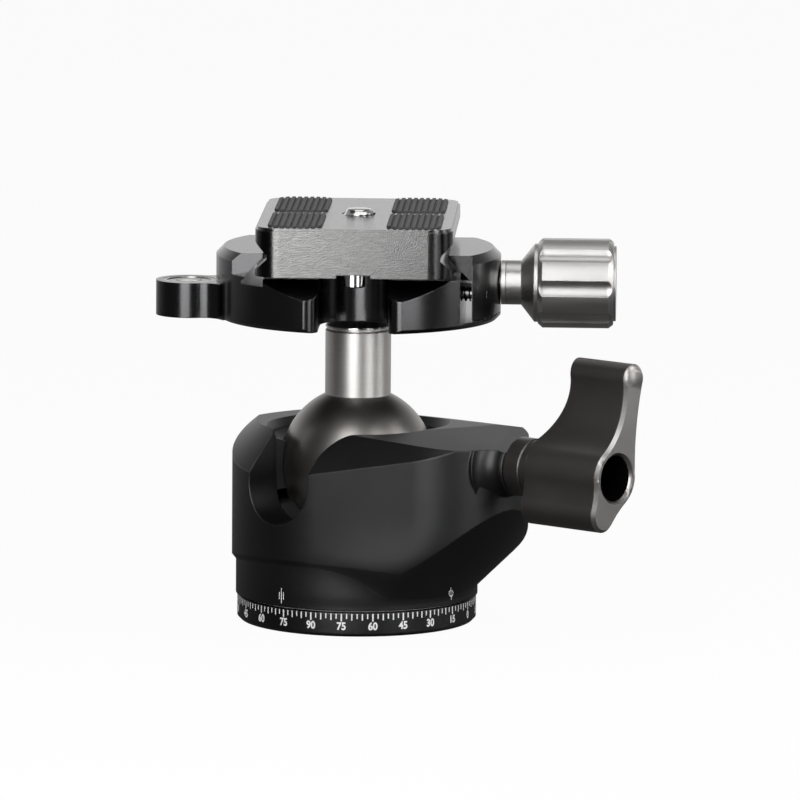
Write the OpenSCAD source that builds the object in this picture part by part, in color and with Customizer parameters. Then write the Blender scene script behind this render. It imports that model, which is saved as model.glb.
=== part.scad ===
// Tripod ball head with a quick-release clamp, a plate, a drop notch and a panning base.
// Millimetres, +Z up. Origin: centre of the base's bottom face, at the mouth of the tripod thread.
// +X: the clamp knob's side. +Y: the way the plate slides.

/* [Base] */
// Radius of the graduated base ring
base_r = 23.3;        // [20:0.1:27]
// Height of the base ring
base_h = 4.8;         // [4:0.1:7]
// Radius of the tripod thread's wall, 3/8 inch nominal
thread_r = 4.7625;    // [3:0.0005:6]

/* [Housing] */
// Turn of the housing: the way its lock lever points
lever_dir = -37.5;    // [-180:0.5:180]
// Radius of the round body
body_r = 24.4;        // [22:0.1:28]
// Height of the rim above the tripod face
rim_z = 38.3;         // [36:0.1:42]
// Radius of the cavity the ball sits in
cavity_r = 17;        // [16:0.1:19]
// Radius of the boss that carries the lock screw
boss_r = 17;          // [12:0.1:20]
// Distance of the boss from the main axis
boss_at = 21;         // [16:0.1:26]
// Width of the drop notch
notch_w = 15;         // [13.5:0.1:17]
// Lowest point of the drop notch
notch_z = 21;         // [19:0.1:23]

/* [Ball] */
// Radius of the ball
ball_r = 15;          // [13:0.1:18]
// Height of the ball's centre
ball_z = 30.5;        // [28:0.1:33]
// Radius of the neck
neck_r = 6.4;         // [5:0.1:6.4]

/* [Lock lever] */
// Height of the lock screw's axis
lock_z = 34;          // [32:0.1:36]
// Reach of the lever's long wing from its axis
wing = 21.4;          // [16:0.1:22]

/* [Clamp] */
// Radius of the clamp disc
clamp_r = 27.65;      // [26:0.05:30]
// Underside of the clamp
clamp_z = 59.3;       // [59:0.1:61]
// Thickness of the clamp
clamp_h = 13.8;       // [12:0.1:16]
// Half length of the dovetail jaws
jaw_y = 14;           // [10:0.1:18]
// How far the jaw opens
jaw_open = 1.6;       // [0.5:0.1:2]

/* [Plate] */
// Width of the plate across the dovetail
plate_w = 38;         // [37.5:0.1:38.5]
// Length of the plate
plate_l = 50;         // [40:1:60]
// Thickness of the plate
plate_h = 9.5;        // [8:0.1:11]

/* [Hidden] */
$fn = 96;
fit = 0.05;                       // radial clearance of every running fit
gap = 0.1;                        // clearance round the ball and along the dovetail
hub_r = 13;                       // the base's spindle
hub_z = 12.4;
slip = 0.3;                       // thickness of the pan slip rings
floor_z = 12.1;                   // top of the housing's floor
cup_z = 15;
lock_end = 40.8;                  // where the housing's lock neck ends
lever_in = 46.6;
lever_out = 64.3;
pan_z = 8.2;                      // height of the pan lock's axis
pan_out = 31;
neck_top = 56.8;
dove = 17.9;                      // half width between the jaw tips
clamp_top = clamp_z + clamp_h;
knob_z = clamp_z + clamp_h / 2;
step_z = 69;                      // the clamp's deck in front of the jaws
split_x = 20.3;                   // where the fixed body stops and the jaw's gap begins
jaw_x = 22.5;
pin_z = 65.3;                     // height of the jaw's guide pins
shelf_z = 60.5;
plate_z = 69.8;
flange = plate_w / 2;
dove_z = plate_z + 1.2;           // top of the plate's vertical flange
level_x = -33;
level_z = 66.1;
stop_y = plate_l / 2 - 4;

// ---------- shared helpers ----------

module ring(r_out, r_in, z0, z1) {
    translate([0, 0, z0]) difference() {
        cylinder(r = r_out, h = z1 - z0);
        translate([0, 0, -1]) cylinder(r = r_in, h = z1 - z0 + 2);
    }
}

// a solid of revolution about Z from [radius, height] points
module turned(points) rotate_extrude() polygon(points);

// children drawn along +Z are laid along +X of the housing, starting on the main axis
module along_lock() rotate([0, 0, lever_dir]) translate([0, 0, lock_z]) rotate([0, 90, 0]) children();

// the same for the pan lock, opposite the notch
module along_pan() rotate([0, 0, lever_dir + 90]) translate([0, 0, pan_z]) rotate([0, 90, 0]) children();

module in_housing() rotate([0, 0, lever_dir]) children();

module along_knob() translate([0, 0, knob_z]) rotate([0, 90, 0]) children();

// ---------- base ----------

module base_plate() color("#1b1b1d") difference() {
    turned([[0, 0], [base_r - 0.6, 0], [base_r, 0.6], [base_r, base_h - 0.3],
            [base_r - 0.3, base_h], [0, base_h]]);
    translate([0, 0, -1]) cylinder(r = 7, h = 11.5);
    // seats of the two pins that lock the bushing
    for (a = [0, 180]) rotate([0, 0, a]) translate([7, 0, -1]) cylinder(r = 1, h = 5);
    // ring groove in the underside
    ring(19.4, 17.4, -1, 0.8);
}

// the post that the housing pans on, with a groove for the brake pad
module spindle() color("#1b1b1d") difference() {
    turned([[0, base_h], [hub_r, base_h], [hub_r, pan_z - 1.9], [hub_r - 1.6, pan_z - 0.6],
            [hub_r - 1.6, pan_z + 0.6], [hub_r, pan_z + 1.9], [hub_r, hub_z], [0, hub_z]]);
    translate([0, 0, -1]) cylinder(r = 7, h = 11.5);
    for (a = [30, 150, 270]) rotate([0, 0, a]) translate([10, 0, hub_z - 6]) cylinder(r = 1, h = 7);
}

module thread_bushing() color("#b9b9bb") difference() {
    turned([[0, 0], [7, 0], [7, 10.5], [0, 10.5]]);
    translate([0, 0, -1]) cylinder(r = thread_r, h = 10);
    for (a = [0, 180]) rotate([0, 0, a]) translate([7, 0, -1]) cylinder(r = 1, h = 5);
}

module bushing_pins() color("#8b8b8e")
    for (a = [0, 180]) rotate([0, 0, a]) translate([7, 0, 0.2]) cylinder(r = 1, h = 3.8);

module lower_slip_ring() color("#d8d8d2") ring(22.6, hub_r + 0.4, base_h, base_h + slip);

module upper_slip_ring() color("#d8d8d2") ring(14.8, hub_r + 0.4, floor_z, floor_z + slip);

module retaining_disc() color("#9a9a9d") difference() {
    turned([[0, hub_z], [14.9, hub_z], [14.9, hub_z + 1.2], [14.6, hub_z + 1.5], [0, hub_z + 1.5]]);
    for (a = [30, 150, 270]) rotate([0, 0, a]) translate([10, 0, 0]) {
        translate([0, 0, hub_z - 1]) cylinder(r = 1.1, h = 4);
        translate([0, 0, hub_z + 0.6]) cylinder(r1 = 1.1, r2 = 2.05, h = 0.95);
    }
}

module retaining_screws() color("#8b8b8e")
    for (a = [30, 150, 270]) rotate([0, 0, a]) translate([10, 0, 0]) difference() {
        turned([[0, hub_z - 5.5], [1, hub_z - 5.5], [1, hub_z + 0.6], [1.05, hub_z + 0.6],
                [1.9, hub_z + 1.45], [0, hub_z + 1.45]]);
        translate([0, 0, hub_z + 0.7]) cylinder(r = 0.7, h = 2, $fn = 6);
    }

// ---------- housing ----------

// the plan of the body: a round barrel with a boss toward the lever, joined by tangent walls
module body_plan(grow = 0) {
    lean = asin((body_r - boss_r) / boss_at);
    r1 = body_r + grow;
    r2 = boss_r + grow;
    circle(r = r1);
    translate([boss_at, 0]) circle(r = r2);
    polygon([[r1 * sin(lean), r1 * cos(lean)], [boss_at + r2 * sin(lean), r2 * cos(lean)],
             [boss_at + r2 * sin(lean), -r2 * cos(lean)], [r1 * sin(lean), -r1 * cos(lean)]]);
}

// everything inside the waist and under the flare that widens up to the boss; it leans toward the boss
module flare() {
    waist_r = 23.6;
    low = [7.2, 8];
    mid = [11.2, 12.6];
    high = [13.6, 22.5];
    cylinder(r = waist_r, h = 30);
    intersection() {
        translate([0, 0, 9]) rotate([0, 5.2, 0]) rotate_extrude(convexity = 6) difference() {
            polygon([[0, -1], [waist_r - 2, -1], [waist_r + 0.6, 0.4],
                     for (i = [0:8]) let (t = i / 8) [waist_r, 0] + (1 - t) * (1 - t) * low + 2 * t * (1 - t) * mid + t * t * high,
                     [waist_r + 30, 38], [0, 60]]);
            translate([waist_r + 3.1, -1.9]) circle(r = 3.4);
        }
        undercut();
    }
}

// everything above the slanting undercut: its edge is high below the notch and low at the back
module undercut() {
    slope = 1.0;
    drop = 8;
    rise = 30;
    translate([0, 0, 10.3]) rotate([-9.4, -0.9, 0]) hull() {
        translate([0, 0, -drop]) cylinder(r1 = body_r + 0.3 - slope * drop, r2 = body_r + 0.3 + slope * rise, h = drop + rise, $fn = 144);
        translate([boss_at, 0, -drop]) cylinder(r1 = boss_r + 0.3 - slope * drop, r2 = boss_r + 0.3 + slope * rise, h = drop + rise, $fn = 144);
    }
}

// the rim's bevel: a tapered hull over the plan, tilted down toward the notch and up toward the boss
module rim_bevel() {
    slope = 1.88;
    drop = 50;
    translate([0, 0, 38.98]) rotate([18.3, -3.3, 0]) hull() {
        translate([0, 0, -drop]) cylinder(r1 = body_r + 0.6 + slope * drop, r2 = body_r + 0.6 - slope * 9, h = drop + 9, $fn = 144);
        translate([boss_at, 0, -drop]) cylinder(r1 = boss_r + 0.5 + slope * drop, r2 = boss_r + 0.5 - slope * 9, h = drop + 9, $fn = 144);
    }
}

// the space above the rim's three flats: the top, and two that fall away toward the boss
module above_rim() {
    for (flat = [[0, 0, rim_z, 0, -1.8], [13.92, -10.44, rim_z + 0.43, -36.9, 4.5], [27.8, 2.78, rim_z + 0.86, 5.7, 9.6]])
        translate([flat[0], flat[1], flat[2]]) rotate([0, flat[4], flat[3]]) translate([-60, -60, 0]) cube([120, 120, 30]);
}

// rounds the corner between the notch's wall and the rim, on the lever's side
module notch_round() translate([12.7, -8, 33.1]) rotate([90, 0, 0]) difference() {
    translate([-6.2, 0, 0]) cube([6.2, 12, 30]);
    translate([0, 0, -1]) cylinder(r = 5.8, h = 40);
}

module notch_cut(w, z_low, deep) {
    r = w / 2;
    translate([-0.5, 0, 0]) {
        translate([0, 0, z_low + r]) rotate([90, 0, 0]) cylinder(r = r, h = deep);
        translate([-r, -deep, z_low + r]) cube([w, deep, 40]);
    }
}

module housing() color("#1a1a1c") in_housing() difference() {
    union() {
        intersection() {
            translate([0, 0, base_h + slip]) linear_extrude(rim_z - base_h + 2) body_plan();
            flare();
            rim_bevel();
        }
        // neck of the lock screw, with its hollow fillet
        intersection() {
            translate([0, 0, lock_z]) rotate([0, 90, 0]) rotate_extrude() difference() {
                polygon([[0, 28], [9.2, 28], [9.2, 36.4], [5.8, 40.2], [5.8, lock_end - 0.2], [5.6, lock_end], [0, lock_end]]);
                translate([9.4, 39.8]) circle(r = 3.6);
            }
            translate([0, -20, 0]) cube([50, 40, rim_z - 0.6]);
        }
    }
    // cavity of the ball, its flared mouth, and the chamber of the retaining disc
    turned([[0, 14.2], [cavity_r, 14.2], [cavity_r, rim_z - 2.2], [cavity_r + 1.1, rim_z + 0.1],
            [cavity_r + 1.4, rim_z + 0.8], [cavity_r + 1.4, rim_z + 3], [0, rim_z + 3]]);
    translate([0, 0, floor_z]) cylinder(r = 15.4, h = 4);
    translate([0, 0, 0]) cylinder(r = hub_r + fit, h = 20);
    // drop notch
    notch_cut(notch_w, notch_z, 40);
    notch_round();
    above_rim();
    // bore of the lock bushing and of the brake shoe
    translate([10, 0, lock_z]) rotate([0, 90, 0]) cylinder(r = 2.8, h = 40);
    // bore of the pan lock
    translate([0, 10, pan_z]) rotate([-90, 0, 0]) cylinder(r = 2.3, h = 30);
    translate([0, 21.8, pan_z]) rotate([-90, 0, 0]) cylinder(r = 4.9, h = 10);
}

module ball_cup() color("#2c2c2e") difference() {
    ring(cavity_r - fit, 9, cup_z, 23.5);
    translate([0, 0, ball_z]) sphere(r = ball_r + gap);
    in_housing() notch_cut(notch_w, notch_z, 40);
}

module cup_spring() color("#a5a5a8") ring(16.8, 15.7, 14.2, cup_z);

module ball_liner() color("#232325") difference() {
    turned([[12, 26], [cavity_r - fit, 26], [cavity_r - fit, 36], [14.6, 35.2], [12, 34.4]]);
    translate([0, 0, ball_z]) sphere(r = ball_r + gap);
    in_housing() {
        notch_cut(notch_w + 0.6, notch_z, 40);
        translate([10, 0, lock_z]) rotate([0, 90, 0]) cylinder(r = 2.8, h = 12);
    }
}

module lock_bushing() color("#a08a55") along_lock() ring(2.8, 2 + fit, 24, lock_end);

module pan_brake_pad() color("#c9c7bd") along_pan()
    turned([[0, hub_r - 1.3], [0.5, hub_r - 1.3], [1.4, hub_r], [2.25, hub_r + 0.8], [2.25, 17], [0, 17]]);

// ---------- main lock ----------

module lock_shoe() color("#c9c7bd") difference() {
    along_lock() translate([0, 0, 13.5]) cylinder(r = 2.8 - fit, h = 5.6);
    translate([0, 0, ball_z]) sphere(r = ball_r + 0.35);
    along_lock() translate([0, 0, 17.6]) cylinder(r = 2.1, h = 4);
}

module lock_screw() color("#a8a8ab") along_lock() {
    translate([0, 0, 17.7]) cylinder(r = 2, h = 34.3);
}

// centre of the circle of radius f that touches two others from outside, on the given side
function touch(c1, r1, c2, r2, f, side) =
    let (d = c2 - c1, l = norm(d), a = r1 + f, b = r2 + f, x = (a * a - b * b + l * l) / (2 * l),
         h = sqrt(a * a - x * x))
    c1 + d / l * x + side * [-d[1], d[0]] / l * h;

// a web between two round lobes with hollow flanks of radius f1 and f2
module web(c1, r1, c2, r2, f1, f2) {
    t1 = touch(c1, r1, c2, r2, f1, 1);
    t2 = touch(c1, r1, c2, r2, f2, -1);
    difference() {
        polygon([c1, t1, c2, t2]);
        translate(t1) circle(r = f1);
        translate(t2) circle(r = f2);
    }
    translate(c1) circle(r = r1 + 0.02);
    translate(c2) circle(r = r2 + 0.02);
}

// the lever's two wings about its hub: the long one along -x, the short one along +x
module wings(length) {
    linear_extrude(length) web([0, 0], 6.15, [2.9 - wing, 5.4], 2.9, 14, 55);
    linear_extrude(length) web([0, 0], 6.15, [6.5, -3.52], 3.5, 24, 12);
}

module lock_lever() color("#4b4845") along_lock() difference() {
    translate([0, 0, lever_in]) wings(lever_out - lever_in);
    // hollow inner side of the wing
    translate([-18, 0, 31.6]) rotate([90, 0, 0]) cylinder(r = 19.2, h = 60, center = true, $fn = 180);
    // corner of the short wing
    translate([10.6, 0, lever_in - 0.9]) rotate([0, 45, 0]) cube([2.6, 30, 2.6], center = true);
    // deep round hole in the end, and the screw's bore
    translate([0, 0, 54.5]) cylinder(r = 4.4, h = 12);
    translate([0, 0, 40]) cylinder(r = 2, h = 20);
}

module lock_collar() color("#55514d") along_lock() difference() {
    turned([[0, lock_end + 0.1], [5.5, lock_end + 0.1], [5.7, lock_end + 0.3], [5.7, 44.5], [5.5, 44.7], [0, 44.7]]);
    translate([0, 0, 30]) cylinder(r = 2, h = 20);
}

module lock_washer() color("#5a5652") along_lock() difference() {
    turned([[0, 44.8], [5.55, 44.8], [5.55, lever_in], [0, lever_in]]);
    translate([0, 0, 30]) cylinder(r = 2, h = 20);
}

module lever_screw() color("#2b2b2d") along_lock() difference() {
    turned([[0, 52], [2, 52], [2, 54.5], [3.6, 54.5], [3.6, 56.9], [3.3, 57.2], [0, 57.2]]);
    translate([0, 0, 55.4]) cylinder(r = 1.5, h = 4, $fn = 6);
}

// ---------- pan lock ----------

module pan_lock_knob() color("#1d1d1f") along_pan() difference() {
    turned([[0, 25.2], [4.2, 25.2], [4.5, 25.5], [4.5, pan_out - 0.5], [4, pan_out], [0, pan_out]]);
    translate([0, 0, 20]) cylinder(r = 1.5, h = 9.5);
}

module pan_lock_screw() color("#a8a8ab") along_pan() {
    translate([0, 0, 17.2]) cylinder(r = 1.5, h = 12.2);
    translate([0, 0, 22]) cylinder(r = 3, h = 3.2);
}

// ---------- ball ----------

module ball() color("#6d6a66") difference() {
    translate([0, 0, ball_z]) sphere(r = ball_r);
    translate([0, 0, ball_z + 2]) cylinder(r = 5, h = 20);
    translate([0, 0, ball_z + 13.4]) cylinder(r = neck_r, h = 10);
    // flat and blind hole under the ball
    translate([0, 0, ball_z - ball_r - 1]) cylinder(r = 3, h = 6);
}

module neck() color("#c3c1bd") difference() {
    turned([[0, ball_z + 2], [5, ball_z + 2], [5, ball_z + 13.4], [neck_r, ball_z + 13.4], [neck_r, neck_top - 0.2],
            [neck_r - 0.2, neck_top], [neck_r - 0.7, neck_top], [neck_r - 0.7, neck_top + 0.5], [0, neck_top + 0.5]]);
    translate([0, 0, neck_top - 12]) cylinder(r = 3 + fit, h = 20);
}

module neck_ring() color("#e2e0dc") difference() {
    turned([[0, neck_top + 0.5], [neck_r, neck_top + 0.5], [neck_r, neck_top + 0.8], [neck_r - 1.1, clamp_z - 0.3],
            [0, clamp_z - 0.3]]);
    translate([0, 0, neck_top - 12]) cylinder(r = 3 + fit, h = 20);
}

// ---------- clamp ----------

module clamp_disc() turned([[0, clamp_z], [clamp_r - 0.8, clamp_z], [clamp_r, clamp_z + 0.8],
    [clamp_r, clamp_top - 1.5], [clamp_r - 1.5, clamp_top], [0, clamp_top]]);

// the round of the level, blended into the disc by two hollow flanks
module level_arm() translate([0, 0, clamp_z]) linear_extrude(level_z - clamp_z) {
    translate([level_x, 0]) circle(r = 6.4);
    for (s = [-1, 1]) {
        t = touch([0, 0], clamp_r - 0.15, [level_x, 0], 6.32, 4, s);
        difference() {
            polygon([[-22, 0], [level_x, 0], t, [-22, t[1] * 0.8]]);
            translate(t) circle(r = 4);
        }
    }
}

// the space the plate's dovetail needs between the two lips
module channel() rotate([90, 0, 0]) translate([0, 0, -40]) linear_extrude(80) polygon([
    [-dove, clamp_top + 1], [-dove, clamp_top - 1], [-dove - 4, clamp_top - 5], [-dove - 4, 67.6], [-dove + 0.4, 67.6],
    [-dove + 0.4, plate_z], [40, plate_z], [40, clamp_top + 1]]);

module stop_recess() for (s = [0, 180]) rotate([0, 0, s]) translate([0, 0, clamp_z - 1]) {
    linear_extrude(20) {
        translate([0, 14.2]) circle(r = 6.8);
        translate([-6.8, 14.2]) square([13.6, 20]);
    }
    // rounds the recess's two mouth corners into the disc
    reach = clamp_r - 2.48;
    edge_y = sqrt(reach * reach - 9.32 * 9.32);
    for (m = [0, 1]) mirror([m, 0, 0]) linear_extrude(20) difference() {
        polygon([[6.5, edge_y], [9.32, edge_y], [9.32, edge_y] * 1.2, [6.5, edge_y * 1.3]]);
        translate([9.32, edge_y]) circle(r = 2.6);
    }
}

// decks and bevels beyond the jaws' ends
module end_cuts() for (s = [-1, 1]) {
    translate([-40, s > 0 ? jaw_y : -jaw_y - 30, step_z]) cube([80, 30, 20]);
    translate([0, s * 20.6, step_z]) rotate([s * -33, 0, 0]) translate([-40, s > 0 ? 0 : -30, 0]) cube([80, 30, 20]);
}

module clamp_body() color("#19191b") difference() {
    union() {
        intersection() {
            clamp_disc();
            union() {
                translate([-60, -60, 0]) cube([60 + split_x, 120, 100]);
                translate([-60, -60, 0]) cube([120, 120, shelf_z]);
            }
        }
        level_arm();
    }
    channel();
    end_cuts();
    stop_recess();
    // seat of the level
    translate([level_x, 0, level_z - 3.4]) cylinder(r = 5.05, h = 10);
    // clamp screw's tapped bushing, guide pins and springs
    translate([7.5, 0, knob_z]) rotate([0, 90, 0]) cylinder(r = 3.4, h = 30);
    for (y = [-10.5, 10.5]) translate([10, y, pin_z]) rotate([0, 90, 0]) cylinder(r = 1, h = 20);
    for (y = [-10.5, 10.5]) translate([14.5, y, pin_z]) rotate([0, 90, 0]) cylinder(r = 1.6, h = 20);
    // shouldered head screw that the clamp turns on, and the two pins that lock it to the neck's ring
    translate([0, 0, clamp_z - 1]) cylinder(r = 3.1, h = 20);
    translate([0, 0, clamp_z + 4.5]) cylinder(r = 5, h = 20);
    for (y = [-4.6, 4.6]) translate([0, y, clamp_z - 1]) cylinder(r = 0.75, h = 3);
}

module level_bezel() color("#c9c9c7") translate([level_x, 0, 0]) ring(5.05, 4.3, level_z - 3.4, level_z - 0.05);

module level_vial() color("#d9e6c8", 0.5) translate([level_x, 0, 0]) difference() {
    translate([0, 0, level_z - 3.4]) cylinder(r = 4.3, h = 3.2);
    translate([0, 0, level_z - 2.8]) cylinder(r = 3.6, h = 1.9);
}

module level_fluid() color("#9fb36a") translate([level_x, 0, level_z - 2.8]) cylinder(r = 3.6, h = 1.9);

module head_screw() color("#88888b") difference() {
    turned([[0, neck_top - 11], [3, neck_top - 11], [3, clamp_z + 4.55], [4.9, clamp_z + 4.55],
            [4.9, clamp_z + 9], [4.6, clamp_z + 9.3], [0, clamp_z + 9.3]]);
    translate([0, 0, clamp_z + 6]) cylinder(r = 2.5, h = 10, $fn = 6);
}

module head_pins() color("#8b8b8e") for (y = [-4.6, 4.6]) translate([0, y, clamp_z - 0.2]) cylinder(r = 0.75, h = 2);

module guide_pins() color("#c4c4c6") for (y = [-10.5, 10.5])
    translate([10.2, y, pin_z]) rotate([0, 90, 0]) cylinder(r = 1, h = 14.6);

module jaw_springs() color("#9d9da0") for (y = [-10.5, 10.5])
    translate([14.7, y, pin_z]) rotate([0, 90, 0]) ring(1.5, 1.15, 0, 7.6);

module screw_bushing() color("#a08a55") along_knob() ring(3.4, 2.5 + fit, 7.5, 18.5);

module moving_jaw() color("#19191b") difference() {
    intersection() {
        clamp_disc();
        union() {
            translate([jaw_x, -40, shelf_z + 0.3]) cube([20, 80, 30]);
            rotate([90, 0, 0]) translate([0, 0, -jaw_y]) linear_extrude(2 * jaw_y) polygon([
                [dove, clamp_top + 1], [dove, clamp_top - 0.7], [dove + 4, clamp_top - 4.7], [30, clamp_top - 4.7], [30, clamp_top + 1]]);
        }
    }
    for (y = [-10.5, 10.5]) translate([20, y, pin_z]) rotate([0, 90, 0]) cylinder(r = 1 + fit, h = 5.2);
    along_knob() translate([0, 0, 15]) cylinder(r = 2.5 + fit, h = 20);
}

// ---------- clamp knob ----------

module clamp_screw() color("#b4b4b6") along_knob() translate([0, 0, 12]) cylinder(r = 2.5, h = 28);

module knob_washer() color("#d5d3cf") along_knob() ring(4.3, 2.5 + fit, clamp_r + 0.1, clamp_r + 0.95);

module clamp_knob() color("#c6c4c0") along_knob() difference() {
    turned([[0, clamp_r + 1], [4.3, clamp_r + 1], [4.3, 31.6], [7.6, 34.2], [7.6, 34.9], [7.9, 34.9], [8.7, 35.8], [8.7, 48.6],
            [8, 49.5], [7.3, 49.5], [7.3, 50], [0, 50]]);
    // eight flutes
    for (i = [0:7]) rotate([0, 0, i * 45]) translate([10.4, 0, 36]) {
        cylinder(r = 2.4, h = 12.4);
        sphere(r = 2.4);
        translate([0, 0, 12.4]) sphere(r = 2.4);
    }
    translate([0, 0, 20]) cylinder(r = 2.5, h = 20);
}

// ---------- plate ----------

module rounded_box(w, l, r, z0, z1) translate([0, 0, z0]) linear_extrude(z1 - z0) rounded(w, l, r);

module rounded(w, l, r) {
    for (x = [-1, 1], y = [-1, 1]) translate([x * (w / 2 - r), y * (l / 2 - r)]) circle(r = r);
    square([w - 2 * r, l], center = true);
    square([w, l - 2 * r], center = true);
}

module quick_plate() color("#1d1d1f") difference() {
    intersection() {
        union() {
            rounded_box(plate_w, plate_l, 4.7, plate_z, plate_z + plate_h - 0.5);
            rounded_box(plate_w - 0.8, plate_l - 0.8, 4.3, plate_z, plate_z + plate_h);
        }
        rotate([90, 0, 0]) translate([0, 0, -30]) linear_extrude(60) polygon([
            for (s = [-1, 1]) each let (side = [[flange + 1, 60], [flange + 1, dove_z - 1 - gap], [flange - 2.4, dove_z + 2.4 - gap],
                [flange - 2.4, dove_z + 3], [flange + 1, dove_z + 6.4], [flange + 1, 90]])
                s < 0 ? [for (p = side) [-p[0], p[1]]] : [for (i = [5:-1:0]) side[i]]]);
    }
    // slot and stepped seat of the camera screw
    translate([-3.3, -30, plate_z - 1]) cube([6.6, 60, 1.6]);
    translate([0, 0, plate_z - 1]) cylinder(r = 8.2, h = 5.5);
    translate([0, 0, plate_z - 1]) cylinder(r = 3.3, h = 20);
    // seats of the rubber pads
    for (x = [-1, 1], y = [-1, 1]) translate([x * 11.4, y * 12.2, 0]) rounded_box(10.5, 21.5, 3, plate_z + plate_h - 1, plate_z + plate_h + 1);
    // tapped holes of the stop screws
    for (s = [-1, 1]) translate([0, s * stop_y, plate_z - 1]) cylinder(r = 1.5, h = 6);
}

module rubber_pads() color("#3a3a3c") for (x = [-1, 1], y = [-1, 1]) translate([x * 11.4, y * 12.2, 0]) {
    rounded_box(10.5, 21.5, 3, plate_z + plate_h - 1, plate_z + plate_h + 0.1);
    // ribs along the plate
    intersection() {
        rounded_box(10.5, 21.5, 3, plate_z + plate_h - 0.5, plate_z + plate_h + 0.5);
        for (i = [-4:4]) translate([i * 1.2 - 0.35, -12, plate_z + plate_h - 0.5]) cube([0.7, 24, 0.9]);
    }
}

module stop_screws() color("#c8c8ca") for (s = [-1, 1]) translate([0, s * stop_y, 0]) difference() {
    turned([[0, plate_z - 2.1], [1.9, plate_z - 2.1], [2.2, plate_z - 1.8], [2.2, plate_z + 0.6], [1.5, plate_z + 0.6],
            [1.5, plate_z + 4.6], [0, plate_z + 4.6]]);
    translate([0, 0, plate_z - 3]) cylinder(r = 1.1, h = 2.3, $fn = 6);
}

// ---------- camera screw ----------

module camera_screw() color("#c8c8ca") difference() {
    turned([[0, plate_z + 0.5], [7.6, plate_z + 0.5], [7.9, plate_z + 0.8], [7.9, plate_z + 3.4], [7.6, plate_z + 3.7],
            [3.175, plate_z + 3.7], [3.175, plate_z + plate_h + 0.5], [2.7, plate_z + plate_h + 1], [0, plate_z + plate_h + 1]]);
    translate([-1, -10, plate_z]) cube([2, 20, 1.5]);
    translate([0, 0, plate_z + 2.4]) rotate([90, 0, 0]) cylinder(r = 0.65, h = 20, center = true);
}

module screw_retainer() color("#77777a") ring(3.9, 3.3, plate_z + 4, plate_z + 4.5);

base_plate();
spindle();
thread_bushing();
bushing_pins();
lower_slip_ring();
upper_slip_ring();
retaining_disc();
retaining_screws();
housing();
ball_cup();
cup_spring();
ball_liner();
lock_bushing();
pan_brake_pad();
lock_shoe();
lock_screw();
lock_lever();
lock_collar();
lock_washer();
lever_screw();
pan_lock_knob();
pan_lock_screw();
ball();
neck();
neck_ring();
clamp_body();
level_bezel();
level_vial();
level_fluid();
head_screw();
head_pins();
guide_pins();
jaw_springs();
screw_bushing();
moving_jaw();
clamp_screw();
clamp_knob();
knob_washer();
quick_plate();
rubber_pads();
stop_screws();
camera_screw();
screw_retainer();
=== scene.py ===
import math

import bpy
from mathutils import Matrix, Vector


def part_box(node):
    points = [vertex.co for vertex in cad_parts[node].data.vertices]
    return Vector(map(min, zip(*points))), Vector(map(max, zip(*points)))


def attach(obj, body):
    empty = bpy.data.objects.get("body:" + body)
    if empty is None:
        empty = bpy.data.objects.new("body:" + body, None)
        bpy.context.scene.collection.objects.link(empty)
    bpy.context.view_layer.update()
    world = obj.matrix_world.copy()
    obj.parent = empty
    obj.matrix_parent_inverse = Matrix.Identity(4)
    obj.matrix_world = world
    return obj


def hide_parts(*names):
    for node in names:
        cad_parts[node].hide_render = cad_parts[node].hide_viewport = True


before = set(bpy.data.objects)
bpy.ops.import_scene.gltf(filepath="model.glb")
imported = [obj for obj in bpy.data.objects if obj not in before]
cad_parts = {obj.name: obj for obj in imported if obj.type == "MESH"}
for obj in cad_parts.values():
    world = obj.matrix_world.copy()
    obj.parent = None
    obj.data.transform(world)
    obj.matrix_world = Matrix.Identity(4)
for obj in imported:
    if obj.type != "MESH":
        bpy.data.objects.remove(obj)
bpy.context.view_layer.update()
scene = bpy.context.scene
scene.view_settings.view_transform = "Standard"


# ---------------------------------------------------------------- camera
# It stands 1.6 m in front of the head and looks a little down on it. A long lens keeps the
# head's uprights parallel.
camera_data = bpy.data.cameras.new("camera")
camera = bpy.data.objects.new("camera", camera_data)
scene.collection.objects.link(camera)
scene.camera = camera
camera_data.sensor_width = 36
camera_data.lens = 374
camera_data.dof.use_dof = False
camera_data.clip_start = 0.05
camera_data.clip_end = 20
camera_side = math.radians(2.5)
camera_roll = math.radians(0.4)
camera_away = 1.6
camera_height = 0.279
camera_x = math.sin(camera_side) * camera_away
camera_y = -math.cos(camera_side) * camera_away
camera_at = Vector((camera_x, camera_y, camera_height))
camera_aim = Vector((0.0082, 0.0, 0.04285))
camera_turn = (camera_aim - camera_at).to_track_quat("-Z", "Y").to_matrix().to_4x4()
camera.matrix_world = Matrix.Translation(camera_at) @ camera_turn @ Matrix.Rotation(camera_roll, 4, "Z")


# ---------------------------------------------------------------- paper floor
# A roll of matt white paper that the head stands on, made to glow. The camera and the level's glass
# see it as a white glow with the head's faint shadow. The metals see a painted glow, dark in front
# and white behind, as their reflection of it.
class Sock:
    """A shader value that adds Math nodes when Python does sums on it."""

    def __init__(self, tree, out):
        self.tree, self.out = tree, out

    def maths(self, operation, other=None, swap=False, clamp=False):
        node = self.tree.nodes.new("ShaderNodeMath")
        node.operation = operation
        node.use_clamp = clamp
        terms = [self] if other is None else [self, other]
        if swap:
            terms.reverse()
        for i, term in enumerate(terms):
            if isinstance(term, Sock):
                self.tree.links.new(term.out, node.inputs[i])
            else:
                node.inputs[i].default_value = term
        return Sock(self.tree, node.outputs[0])

    def __add__(self, other):
        return self.maths("ADD", other)

    def __sub__(self, other):
        return self.maths("SUBTRACT", other)

    def __rsub__(self, other):
        return self.maths("SUBTRACT", other, swap=True)

    def __mul__(self, other):
        return self.maths("MULTIPLY", other)

    def clamped(self):
        return self.maths("ADD", 0.0, clamp=True)


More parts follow.
